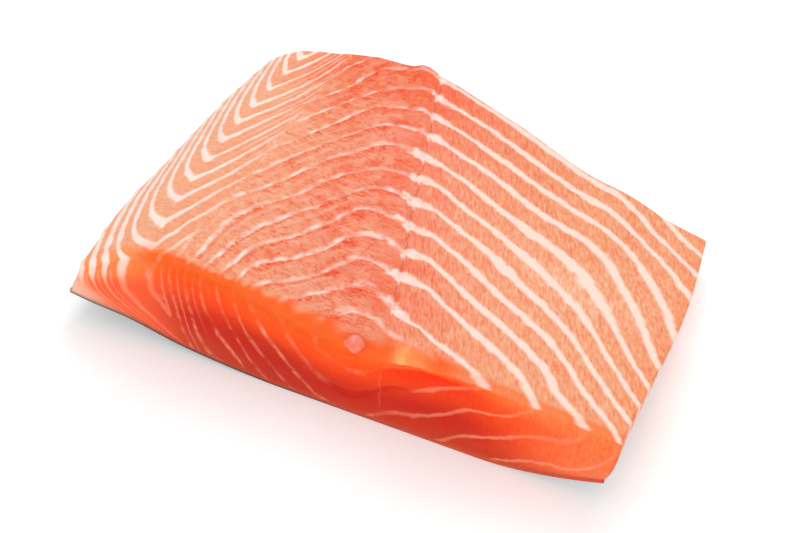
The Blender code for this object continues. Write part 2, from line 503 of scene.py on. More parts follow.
def side_phase(x, t):
    """Counts the chevron flakes of the outer loin and the flank."""
    outward = np.clip(tip_x(t) - x, 0.0, None)
    inward = np.clip(x - tip_x(t), 0.0, None)
    steep = mix(*SIDE_FLANK_SLOPES, ease(2.5 * t)) * soft_rise(SIDE_FLANK_X - x, SIDE_BEND)
    back = SIDE_OUT_SLOPE * outward + steep
    ahead = SIDE_IN_SLOPE * inward + SIDE_IN_BEND * inward**2
    return SIDE_START + (reach(x) * t - back - ahead) / SIDE_PITCH


def met_phase(x, t, depth=0.0):
    """The flake count with the waves that bring the seams together at the midline."""
    off = x - crest_x(t)
    phase = flake_phase(x, t) + LOIN_WAVE * bell(off, *LOIN_WAVE_PLACE)
    phase = phase + mix(*LOIN_SHIFTS, t**0.8) * ease(-off / LOIN_SHIFT_REACH)
    lag = FIRST_LAG * bell(phase, *FIRST_LAG_FLAKE) * ease(off / FIRST_LAG_REACH)
    lead = KNOT_LEAD * bell(phase, *KNOT_LEAD_FLAKE) * bell(off, *KNOT_LEAD_PLACE)
    ends = END_SHIFTS[0] * bell(x, END_X, END_SPREAD) + END_SHIFTS[1] * rising(x - END_X, *END_SPAN)
    ends = ends * ease(1.0 - reach(x) * t / END_REACH)
    return phase + lead + ends + lag * np.exp(-depth / FIRST_LAG_DEPTH)


def cut_phase(x, t, depth):
    """Counts the flakes on the face of a cut, at a depth below the top edge."""
    right = met_phase(x, t, depth) + mix(*CUT_GAINS, rising(x, *CUT_GAIN_SPAN)) * depth
    start, middle, end = CUT_EXTRA_SPANS
    extra = mix(*CUT_EXTRAS[:2], rising(x, *middle)) - CUT_DIP * bell(x, *CUT_DIP_PLACE)
    extra = mix(extra, CUT_EXTRAS[2], rising(x, *end)) * rising(x, *start)
    right = right + extra * (1.0 - np.exp(-depth / CUT_EXTRA_DEPTH))
    right = right + CUT_BUMP * bell(x, *CUT_BUMP_PLACE) * rising(depth, *CUT_BUMP_SPAN)
    drawn = x - CUT_DRIFT * depth**2
    left = side_phase(np.minimum(drawn, SIDE_TIP_FRONT), t)
    left = left + CUT_LEFT_RISE * np.clip(drawn - SIDE_TIP_FRONT, 0.0, None)
    return soft_least(CUT_BLEND, left, right)


def flake_relief(x, t):
    """Low terraces: bold on the soft flakes at the front, faint elsewhere."""
    phase = flake_phase(x, t)
    share = phase - np.floor(phase)
    rise = share / FLAKE_RISE
    fall = (1.0 - share) / (1.0 - FLAKE_RISE)
    terrace = np.minimum(rise, fall) - 0.5
    across = bell(x, *FLAKE_STEP_PLACE)
    along = ease(FLAKE_STEP_FADE - reach(x) * t / FLAKE_STEP_REACH)
    return terrace * (GRAIN_STEP + FLAKE_STEP * across * along) * ease(8.0 * t)


def under_height(x, t):
    """Height of the skin's outer face."""
    left = np.clip((FLAT_LEFT - x) / FLAT_LEFT, 0.0, None)
    right = np.clip((x - FLAT_RIGHT) / (WIDTH - FLAT_RIGHT), 0.0, None)
    curl = TIP_CURL * bell(x, *TIP_CURL_PLACE) * ease(1.0 - t / TIP_CURL_SHARE)
    return mix(*LIFT_LEFT, ease(t)) * left**1.6 + mix(*LIFT_RIGHT, ease(t)) * right**1.7 + curl


def block(cells):
    """A unit block from the origin, cut into the given number of cells each way."""
    mesh = bmesh.new()
    bmesh.ops.create_cube(mesh, size=1.0)
    bmesh.ops.translate(mesh, verts=mesh.verts, vec=(0.5, 0.5, 0.5))
    for axis, count in enumerate(cells):
        along = [edge for edge in mesh.edges if abs(edge.verts[0].co[axis] - edge.verts[1].co[axis]) > SAME]
        if count > 1:
            bmesh.ops.subdivide_edges(mesh, edges=along, cuts=count - 1, use_grid_fill=True)
    return mesh


def thin_underside(mesh, cells, stride):
    """Leaves only every stride-th line of the grid on the underside."""
    spare = []
    for edge in mesh.edges:
        ends = [vert.co for vert in edge.verts]
        if max(ends[0].z, ends[1].z) > SAME:
            continue
        fixed = 0 if abs(ends[0].x - ends[1].x) < SAME else 1
        line = round(ends[0][fixed] * cells[fixed])
        if 0 < line < cells[fixed] and line % stride:
            spare.append(edge)
    bmesh.ops.dissolve_edges(mesh, edges=spare, use_verts=True)


class Flesh:
    """Places and paints the points of the flesh, each given by its shares a across, b along, c up."""

    def __init__(self, a, b, c):
        self.c = c
        self.t = b * mix(FRONT_ROW_SHARE, 1.0, b)
        self.front = b < SAME
        self.rear = b > 1.0 - SAME
        self.left = a < SAME
        self.right = a > 1.0 - SAME
        self.upper = c > 1.0 - SAME
        self.cut = (self.front | self.rear) & ~self.upper
        self.wall = (self.left | self.right) & ~self.upper & ~self.cut
        self.x_low = a * mix(SKIN_WIDTH, SKIN_REAR_WIDTH, self.t)
        self.x_high = mix(left_edge(self.t), right_edge(self.t), a)
        self.x = mix(self.x_low, self.x_high, c)
        self.y = reach(self.x) * self.t
        self.off = self.x - mix(MIDLINE_FRONT, MIDLINE_REAR, self.t)
        self.top = smooth_top(self.x_high, self.t)
        self.low = under_height(self.x_low, self.t) + SKIN_THICKNESS
        self.depth = (1.0 - c) * (self.top - self.low)
        self.find_phases()

    def noise(self, name, kind=cloud, down=None):
        """The named noise across the flesh, and along it or down its faces."""
        seed, across, along = NOISES[name]
        return kind(self.x / across, (self.y if down is None else down) / along, seed)

    def find_phases(self):
        down = self.y / WOBBLE_SIZE + self.depth / WOBBLE_DEPTH
        wobble = WOBBLE * layered_cloud(self.x / WOBBLE_SIZE, down, WOBBLE_SEED)
        fold = FOLD * self.noise("fold") * ease(1.0 - np.abs(self.off + FOLD_OFF) / FOLD_REACH)
        self.phase = met_phase(self.x_high, self.t) + wobble + fold
        self.phase2 = side_phase(self.x_high, self.t) + SIDE_WOBBLE * wobble
        face = cut_phase(self.x, self.t, self.depth) + FACE_WOBBLE * wobble
        steep = mix(*SIDE_FLANK_SLOPES, ease(2.5 * self.t)) / SIDE_PITCH
        self.phase2 = np.where(self.left, self.phase2 - WALL_LEAN * steep * self.depth, self.phase2)
        self.side = np.where(self.cut, 0.0, ease((SIDE_MARGIN - self.x_high) / SIDE_SOFTNESS + 0.5))
        self.faced = self.cut | (self.front | self.rear) & (self.side > 0.5)
        self.phase = np.where(self.faced, face, self.phase)
        self.lip = hump(self.x_high, *FLAP_ENDS)
        self.hollow = hump(self.x, *FLAP_ENDS) * bell(self.c, *HOLLOW_PLACE)
        self.hollow = np.where(self.front, self.hollow, 0.0)
        crease = rising(self.x, *CREASE_START_SPAN) * falling(self.x, *CREASE_END_SPAN)
        self.crease = np.where(self.front & self.cut, crease * bell(self.phase, *CREASE_FLAKE), 0.0)
        self.above = self.c * (self.top - self.low)
        wedge_top = WEDGE_FOOT + WEDGE_HEIGHT * np.clip(1.0 - self.x / WEDGE_WIDTH, 0.0, None) ** 1.2
        self.wedge = ease(1.6 - self.above / wedge_top) * mix(WEDGE_PALENESS, 0.0, ease(self.x / WEDGE_FADE))
        self.wedge = self.wedge * falling(self.x, *WEDGE_END_SPAN)
        self.worn = ease(self.y / (WORN_BAND + WORN_BAND_SHARE * edge_radius(self.x_high)) - 0.1)
        # Where the painted highlight lies on the belly
        self.painted_highlight = bell(self.x, *HIGHLIGHT_PLACE) * bell(self.y, *HIGHLIGHT_PLACE_ALONG)

    def heights(self):
        phase = mix(self.phase, self.phase2, self.side)
        beside = np.abs(phase - np.round(phase))
        loin = bell(self.off, *LOIN_PLACE)
        lumps = LUMPS * loin * self.noise("lumps", layered_cloud)
        calm = CALM_LUMPS * self.noise("calm lumps", layered_cloud)
        ridges = SEAM_RIDGE * (1.0 - ease(beside / SEAM_RIDGE_WIDTH)) * ease(self.off / BELLY_REACH)
        share = self.phase - np.floor(self.phase)
        step = LOIN_STEP * np.minimum(share / LOIN_STEP_RISE, (1.0 - share) / (1.0 - LOIN_STEP_RISE)) * loin
        chevron = mix(*CHEVRON_RIDGES, falling(self.x, *CHEVRON_SPAN)) * (1.0 - ease(beside / CHEVRON_WIDTH))
        sway = CRACK_SWAY * cloud(self.y / CRACK_SIZES[0], self.x / CRACK_SIZES[1], CRACK_SEED)
        crack = -CRACK_DEPTH * bell(self.off + sway, *CRACK_PLACE) * ease(6.0 * self.t)
        inner = self.worn * ease(14.0 * (1.0 - self.t))
        torn = FLAP_LIP + RIM_ROUGHNESS * self.noise("rim", layered_cloud)
        outer = swells(self.t, OUTER_SWELLS) * falling(self.x, *OUTER_END_SPAN)
        rear = swells(self.x, REAR_SWELLS) * rising(self.t, *REAR_START_SPAN)
        relief = flake_relief(self.x_high, self.t) + outer + rear
        relief = relief + torn * self.lip * ease(1.0 - self.y / FLAP_LIP_REACH)
        fine = (lumps + calm + ridges + step + crack + chevron * self.side) * inner
        return mix(self.low, self.top + relief + fine * self.upper, self.c)

    def spots(self):
        arch = np.sin(np.pi * self.c)
        beside = np.abs(self.phase - np.round(self.phase))
        dent = SEAM_DENT * (1.0 - ease(beside / SEAM_DENT_WIDTH)) * arch
        dent = dent + CREASE_DEPTH * self.crease * (1.0 - ease(beside / CREASE_WIDTH))
        smear = SMEAR * self.noise("smear", layered_cloud, self.depth) * arch
        inset = mix(*EDGE_INSETS, rising(self.x, *INSET_SPAN)) * rising(self.x, *INSET_START_SPAN)
        line = np.zeros_like(self.x)
        ragged = 1.0 + 0.5 * self.noise("teeth", down=line) + 0.3 * self.noise("small teeth", down=line)
        rim = inset * (1.0 - self.lip) - FLAP_OVERHANG * ragged * self.lip
        face = rim * np.exp(-self.depth / INSET_DEPTH) + HOLLOW_DEPTH * self.hollow
        face = face - CUT_SWELL * arch + dent + smear
        y = self.y + np.where(self.front, np.where(self.upper, rim, face), 0.0)
        y = y + np.where(self.front | self.rear, 0.0, rim * np.exp(-self.y / INSET_REACH))
        y = y + np.where(self.rear, CUT_SWELL * arch - dent, 0.0)
        swell = LEFT_WALL_SWELL * ease(self.t / LEFT_WALL_START) * arch
        tuck = LEFT_WALL_TUCK * ease(1.0 - self.t / LEFT_TUCK_END) * (1.0 - self.c)
        x = self.x + np.where(self.left, tuck - swell, 0.0)
        x = x + np.where(self.right, RIGHT_WALL_SWELL * arch, 0.0)
        return np.stack([x, y, self.heights()], axis=1)

    def painted_glow(self):
        """Share of the painted glow along the lit front top edge, with a scallop for each flake."""
        first, worn, flap, last = GLOW_REACHES
        worn = worn + GLOW_WORN * edge_radius(self.x)
        deep = mix(first, worn, rising(self.x, *GLOW_SPANS[0]))
        deep = mix(deep, flap, rising(self.x, *GLOW_SPANS[1]))
        deep = mix(deep, last, rising(self.x, *GLOW_SPANS[2]))
        deep = deep * (1.0 + 0.2 * self.noise("painted_glow", down=np.zeros_like(self.x)))
        scallop = rising(self.x, *SCALLOP_START_SPAN) * falling(self.x, *SCALLOP_END_SPAN)
        deep = deep * (1.0 + SCALLOP * np.cos(2.0 * np.pi * self.phase) * scallop)
        return ease(1.35 - self.y / deep) * rising(self.x, *GLOW_START_SPAN)

    def blotch(self):
        """Share of the pale blotch beside the torn flap."""
        tail = 0.6 * rising(self.x, BLOTCH_X, 0.001) * falling(self.x, *BLOTCH_END_SPAN)
        blotch = np.maximum(bell(self.x, BLOTCH_X, BLOTCH_REACH), tail)
        return blotch * ease(1.4 - self.y / BLOTCH_REACH) * (1.0 + 0.3 * self.noise("blotch"))

    def top_tint(self):
        """Colour of the top between its seams."""
        patches = ease(0.2 + 1.3 * self.noise("patches", layered_cloud))
        streaks = rising(self.t, 0.42, 0.30) * bell(self.off, -0.022, 0.024)
        left = falling(self.x, 0.040, 0.020)
        right = ease(1.0 - (right_edge(self.t) - self.x) / 0.008)
        painted_glow = self.painted_glow()
        layers = (
            (BELLY_TONE, ease(self.off / 0.040)),
            (FLANK_TONE, falling(self.x, 0.030, 0.014)),
            (CREST_TONE, 0.95 * bell(self.off, -0.006, 0.022)),
            (PATCH_TONE, 0.55 * patches * bell(self.off, -0.014, 0.026)),
            (REAR_TONE, 0.88 * rising(self.t, 0.72, 0.25) * bell(self.off, -0.012, 0.030)),
            (REAR_TONE, 0.14 * rising(self.t, 0.50, 0.30) * bell(self.off, 0.022, 0.030)),
            (REAR_TONE, 0.45 * patches * streaks),
            (FLANK_EDGE_TONE, left * ease(1.3 - self.y / 0.006)),
            # Painted glow of light through the front top edge, paler orange towards the right
            (PAINTED_GLOW_TONE, painted_glow * mix(*GLOW_SHARES, rising(self.x, *GLOW_SPANS[2]))),
            (EDGE_RIGHT_TONE, 0.8 * painted_glow * rising(self.x, 0.108, 0.02)),
            (EDGE_RIGHT_TONE, 0.30 * right),
            # Painted highlight: a pale patch on the belly
            (FAT_LIGHT_TONE, 0.40 * self.painted_highlight),
            (BLOTCH_TONE, 0.75 * self.blotch()),
        )
        return painted(LOIN_TONE, layers)

    def face_tint(self, foot):
        """Colour of the faces of the cuts between their seams, with a painted glow of light through the flesh
        at their upper part and in the hollow below the flap.
        """
        middle = 0.6 * bell(self.x, 0.062, 0.016) * rising(self.depth, 0.004, 0.005)
        left = falling(self.x, 0.040, 0.020) * rising(self.depth, 0.001, 0.006)
        left_top = falling(self.x, 0.034, 0.016) * ease(1.15 - self.depth / 0.0065)
        right_glow = 0.8 * rising(self.x, 0.112, 0.02) * ease(1.0 - self.depth / 0.0050)
        layers = (
            (FACE_TONE, rising(self.depth, 0.002, 0.011) * falling(self.x, 0.138, 0.03)),
            (FACE_FOOT_TONE, rising(self.depth, 0.010, 0.014)),
            (FACE_RIGHT_TONE, 0.85 * rising(self.x, 0.118, 0.030)),
            # Painted glow of light through the flap, in the hollow below it
            (HOLLOW_GLOW_TONE, self.hollow),
            (FACE_MIDDLE_TONE, middle),
            (FACE_LEFT_TONE, left),
            # Painted glow along the top of the cut, paler orange at the right end
            (PAINTED_GLOW_TONE, ease(1.0 - self.depth / 0.0035)),
            (EDGE_RIGHT_TONE, right_glow),
            (FACE_LEFT_TOP_TONE, left_top),
            (FOOT_TONE, 0.5 * foot),
            (TIP_TONE, self.wedge),
        )
        return painted(FACE_TOP_GLOW_TONE, layers)

    def tint(self):
        """Colour of the flesh between its seams."""
        foot = ease(1.0 - self.above / 0.0016)
        shades = np.where(self.cut[:, None], self.face_tint(foot), self.top_tint())
        fat = painted(shades, ((FAT_TONE, 0.45 + 0.3 * foot),))
        return np.where(self.wall[:, None], fat, shades)

    def seam_width(self):
        """Half the width of a pale seam, as a share of the flake."""
        width = 0.74 * mix(0.035, 0.105, rising(self.off, 0.003, 0.028))
        near = mix(0.62, 0.95, rising(self.x, *NEAR_EDGE_SPAN))
        width = width * mix(near, 1.0, rising(self.y, 0.001, 0.018)) * mix(0.75, 1.0, ease(self.y / 0.003))
        width = width * mix(1.0, 0.78, rising(self.x, 0.126, 0.018))
        # Painted highlight: wider pale seams where the belly catches the light
        highlight_seams = bell(self.x, *HIGHLIGHT_SEAM_PLACE) * sum(bell(self.y, *place) for place in HIGHLIGHT_SEAM_PLACES_ALONG)
        width = width + 0.08 * highlight_seams + 0.06 * self.painted_highlight
        loin = mix(0.028, 0.048, rising(-self.off, 0.024, 0.020))
        width = np.where(self.off < 0.0, loin, width)
        width = width * (1.0 + 0.30 * self.noise("seam widths", layered_cloud))
        face = mix(0.022, 0.016, rising(self.x, 0.085, 0.02))
        flank = falling(self.x, 0.022, 0.008) * ease(1.0 - self.depth / 0.006)
        return np.where(self.faced, mix(face, 0.17, flank), width)

    def seam_strength(self):
        """How strongly a pale seam covers the flesh."""
        strength = mix(0.70, 0.92, ease(self.off / 0.008))
        loin = mix(0.50, 0.66, rising(-self.off, 0.012, 0.020))
        loin = loin * (1.0 + 0.7 * self.noise("loin seams", layered_cloud))
        strength = np.where(self.off < 0.0, loin, strength)
        soft = bell(self.x, *FLAKE_STEP_PLACE) * ease(1.4 - self.y / FLAKE_STEP_REACH)
        strength = mix(strength, 0.74, soft * (self.off < 0.0))
        strength = np.where(self.off < 0.02, strength * self.worn, strength)
        edge = mix(0.45, 0.85, rising(self.x, *NEAR_EDGE_SPAN))
        strength = strength * mix(edge, 1.0, ease(self.y / 0.0030))
        foremost = bell(self.phase, 0.0, 0.35) * rising(self.off, 0.001, 0.004) * falling(self.x, 0.125, 0.01)
        strength = strength * (1.0 - 0.92 * foremost)
        face = mix(0.14, 0.30, ease(self.depth / 0.006))
        face = face * (1.0 + 0.5 * self.noise("face seams", down=self.depth))
        face = face + 0.08 * falling(self.x, 0.034, 0.02) + 0.06 * rising(self.x, 0.085, 0.02)
        face = mix(face, 0.82, falling(self.x, 0.028, 0.010) * ease(1.15 - self.depth / 0.007))
        face = face * (1.0 - ease(1.6 * self.crease)) * (1.0 - 0.7 * self.wedge)
        return np.where(self.faced, face, strength)

    def side_width(self):
        arms = tip_x(self.t) - self.x_high
        width = mix(0.035, 0.066, ease(arms / 0.004 + 0.5))
        width = width + 0.05 * bell(arms, 0.0, 0.0022)
        return mix(width, 0.17, falling(self.x, SIDE_FLANK_X, 0.006))

    def side_strength(self):
        arms = tip_x(self.t) - self.x_high
        strength = mix(0.92, 0.55, rising(-arms, 0.003, 0.010))
        faded = mix(0.35, 1.0, rising(self.y, 0.002, 0.007))
        strength = strength * mix(1.0, faded, rising(self.x_high, 0.018, 0.008))
        return strength * (1.0 + 0.15 * self.noise("side seams"))

    def seam_values(self):
        """Where the seams run at each point, and how they look there."""
        soft_face = mix(0.15, 0.09, rising(self.x, 0.075, 0.03))
        soft_top = mix(0.17, 0.15, ease(self.y / 0.020))
        return {
            "phase": self.phase,
            "phase2": self.phase2,
            "side": self.side,
            "seam_width": self.seam_width(),
            "seam_strength": self.seam_strength(),
            "side_width": self.side_width(),
            "side_strength": self.side_strength(),
            "softness": np.where(self.cut, soft_face, soft_top),
            "off": MILLIMETRES * self.off,
            "crease": self.crease,
        }

    def between(self):
        """Strength of the thin lines halfway between two seams."""
        zone = rising(self.x, 0.021, 0.006) * rising(self.t, 0.35, 0.2)
        beyond = rising(-self.off, 0.004, 0.02)
        patchy = np.clip(0.6 + self.noise("between", layered_cloud), 0.0, 1.0)
        lines = np.where(self.x < SIDE_MARGIN, 0.42 * zone, 0.20 * beyond * patchy * self.worn)
        low = 0.30 * falling(self.x, 0.044, 0.008) * ease(self.depth / 0.004)
        return np.where(self.cut, low, np.where(self.wall, 0.0, lines))

    def masks(self):
        """Where at each point the material has its knots, margins, fibres and tears."""
        top = ~(self.cut | self.wall)
        inner = np.maximum(rising(self.depth, 0.001, 0.006), rising(self.x, 0.020, 0.010))
        brim = rising(self.x, 0.020, 0.010) * ease(1.2 - self.y / 0.0045) * falling(self.x, 0.100, 0.015)
        septum = rising(self.depth, 0.003, 0.002) * falling(self.depth, 0.017, 0.004)
        centre = rising(-self.off, 0.002, 0.008) * rising(self.x, 0.034, 0.006) * rising(self.y, 0.001, 0.003)
        whole = np.where(self.cut, falling(self.x, 0.034, 0.006), 0.0)
        smooth = rising(self.x, 0.022, 0.020)
        rough = mix(0.60, 1.0, smooth) * mix(0.35, 1.0, rising(self.y, 0.001, 0.003))
        return {
            "between": self.between(),
            "margin": np.where(top, MILLIMETRES * (self.x_high - SIDE_MARGIN), 9.0),
            "midline": np.where(top, rising(self.y, 0.005, 0.005), 0.0),
            "inner": np.where(self.cut, inner, np.where(top, brim, 0.0)),
            "septum": np.where(self.front & self.cut, 0.09 * septum, 0.0),
            "centre": np.where(top, centre, 0.0),
            "belly": np.maximum(ease(self.off / 0.010 + 0.5), whole),
            "fibre_depth": np.where(top, rough, mix(0.25, 0.55, smooth)),
        }


def painted(shades, layers):
    """The shades with the tone of each layer laid over them by the layer's share."""
    for tone, share in layers:
        shades = shades + (tone - shades) * np.clip(share, 0.0, 1.0)[:, None]
    return shades


def coordinates(mesh):
    return np.array([vert.co for vert in mesh.verts])


def add_object(name, data):
    thing = bpy.data.objects.new(name, data)
    bpy.context.scene.collection.objects.link(thing)
    return thing


def add_mesh(name, mesh):
    data = bpy.data.meshes.new(name)
    mesh.to_mesh(data)
    mesh.free()
    return add_object(name, data)


def settle(mesh, name, spots, shift):
    """Moves the mesh's points to their spots and makes an object of it."""
    for vert, spot in zip(mesh.verts, spots + shift):
        vert.co = spot
    bmesh.ops.recalc_face_normals(mesh, faces=mesh.faces)
    piece = add_mesh(name, mesh)
    piece.data.shade_smooth()
    return piece


def write_value(piece, name, values):
    layer = piece.data.attributes.new(name, "FLOAT", "POINT")
    layer.data.foreach_set("value", np.ascontiguousarray(values, dtype=np.float32))


def write_colour(piece, name, values):
    layer = piece.data.attributes.new(name, "FLOAT_COLOR", "POINT")
    full = np.concatenate([values, np.ones((len(values), 1))], axis=1)
    layer.data.foreach_set("color", np.ascontiguousarray(full, dtype=np.float32).ravel())


class Tree:
    """Adds nodes to a material's or a group's tree and links them."""

    def __init__(self, tree):
        self.tree = tree

    def node(self, kind, inputs=None, **settings):
        made = self.tree.nodes.new(kind)
        for key, value in settings.items():
            setattr(made, key, value)
        for key, value in (inputs or {}).items():
            self.feed(made.inputs[key], value)
        return made

    def feed(self, socket, value):
        if isinstance(value, bpy.types.NodeSocket):
            self.tree.links.new(value, socket)
        else:
            socket.default_value = value

    def math(self, operation, *values):
        made = self.node("ShaderNodeMath", operation=operation)
        for socket, value in zip(made.inputs, values):
            self.feed(socket, value)
        return made.outputs[0]

    def line(self, value, outer, inner):
        """1 where the value is closer to 0 than inner, easing to 0 where it is outer away."""
        return self.scaled(self.math("ABSOLUTE", value), outer, inner, smooth=True)

    def most(self, first, second):
        return self.math("MAXIMUM", first, second)

    def total(self, first, second):
        return self.math("ADD", first, second)

    def product(self, *values):
        result = values[0]
        for value in values[1:]:
            result = self.math("MULTIPLY", result, value)
        return result

    def scaled(self, value, low, high, first=0.0, last=1.0, smooth=False):
        """Takes low to first and high to last, and holds them beyond."""
        kind = "SMOOTHSTEP" if smooth else "LINEAR"
        made = self.node("ShaderNodeMapRange", interpolation_type=kind)
        for socket, given in zip(made.inputs, (value, low, high, first, last)):
            self.feed(socket, given)
        return made.outputs[0]

    def mixed(self, kind, *values, **settings):
        """Two colours or two numbers mixed by a share, which comes first."""
        made = self.node("ShaderNodeMix", data_type=kind, **settings)
        sockets, result = MIX_SOCKETS[kind]
        for socket, value in zip(sockets, values):
            self.feed(made.inputs[socket], value)
        return made.outputs[result]

    def blend(self, share, first, second):
        return self.mixed("RGBA", share, first, second)

    def blend_values(self, share, first, second):
        return self.mixed("FLOAT", share, first, second)

    def tinted(self, first, second):
        """The two colours multiplied."""
        return self.mixed("RGBA", 1.0, first, second, blend_type="MULTIPLY", clamp_factor=True)

    def place(self):
        return self.node("ShaderNodeTexCoord").outputs["Object"]

    def turned(self, vector, angle):
        inputs = {"Vector": vector, "Angle": angle}
        return self.node("ShaderNodeVectorRotate", inputs, rotation_type="Z_AXIS").outputs[0]

    def value(self, name):
        return self.node("ShaderNodeAttribute", attribute_name=name).outputs["Fac"]

    def noise(self, vector, scale, detail=2.0):
        inputs = {"Vector": vector, "Scale": scale, "Detail": detail}
        return self.node("ShaderNodeTexNoise", inputs).outputs[0]

    def drawn_noise(self, given, **settings):
        """Noise drawn out along one axis by a group's own density."""
        drawn = self.node("ShaderNodeVectorMath", operation="MULTIPLY")
        for socket, name in zip(drawn.inputs, ("Vector", "Density")):
            self.feed(socket, given[name])
        inputs = {"Vector": drawn.outputs[0], "Scale": 1.0, **settings}
        return self.node("ShaderNodeTexNoise", inputs).outputs[0]

    def group(self, group, **inputs):
        made = self.node("ShaderNodeGroup", node_tree=group)
        for key, value in inputs.items():
            self.feed(made.inputs[key.replace("_", " ")], value)
        return made.outputs


def new_group(name, inputs, outputs):
    """A node group with its sockets: its tree, what it is given and what it gives."""
    group = bpy.data.node_groups.new(name, "ShaderNodeTree")
    for label, kind in inputs.items():
        group.interface.new_socket(label, in_out="INPUT", socket_type=kind)
    for label, kind in outputs.items():
        group.interface.new_socket(label, in_out="OUTPUT", socket_type=kind)
    tree = Tree(group)
    return group, tree, tree.node("NodeGroupInput").outputs, tree.node("NodeGroupOutput").inputs


def seam_group():
    """Pale seams at the whole numbers of a phase."""
    inputs = {"Phase": FLOAT, "Half Width": FLOAT, "Softness": FLOAT}
    group, tree, given, result = new_group("Muscle seams", inputs, {"Seam": FLOAT, "Share": FLOAT})
    share = tree.math("FRACT", given["Phase"])
    beside = tree.math("PINGPONG", given["Phase"], 0.5)
    outer = tree.total(given["Half Width"], given["Softness"])
    tree.feed(result["Seam"], tree.scaled(beside, outer, given["Half Width"], smooth=True))
    tree.feed(result["Share"], share)
    return group


def fibre_group():
    """Short strokes of muscle fibre, drawn out along one axis."""
    inputs = {"Vector": VECTOR, "Density": VECTOR, "Waviness": FLOAT}
    group, tree, given, result = new_group("Fibre strokes", inputs, {"Strokes": FLOAT})
    noise = tree.drawn_noise(given, Detail=2.5, Roughness=0.6, Distortion=given["Waviness"])
    tree.feed(result["Strokes"], tree.scaled(noise, 0.32, 0.68))
    return group


def torn_group():
    """Thin wavy lines where the surface fibres are torn; the flesh darkens them with a painted shade."""
    inputs = {"Vector": VECTOR, "Density": VECTOR}
    group, tree, given, result = new_group("Torn fibres", inputs, {"Lines": FLOAT})
    noise = tree.drawn_noise(given, Detail=2.0, Roughness=0.55, Distortion=0.6)
    line = tree.line(tree.math("SUBTRACT", noise, 0.5), 0.045, 0.008)
    mask = tree.scaled(tree.noise(given["Vector"], 420.0, 1.0), 0.46, 0.58)
    tree.feed(result["Lines"], tree.product(line, mask))
    return group


def solid(tone):
    return (*[float(part) for part in tone], 1.0)


def start_material(name):
    material = bpy.data.materials.new(name)
    material.use_nodes = True
    return material, Tree(material.node_tree), material.node_tree.nodes["Principled BSDF"]


def set_sockets(shader, **values):
    for name, value in values.items():
        shader.inputs[name.replace("_", " ")].default_value = value


def add_bump(tree, shader, strength, height):
    inputs = {"Strength": strength, "Distance": BUMP_DEPTH, "Height": height}
    tree.feed(shader.inputs["Normal"], tree.node("ShaderNodeBump", inputs).outputs[0])


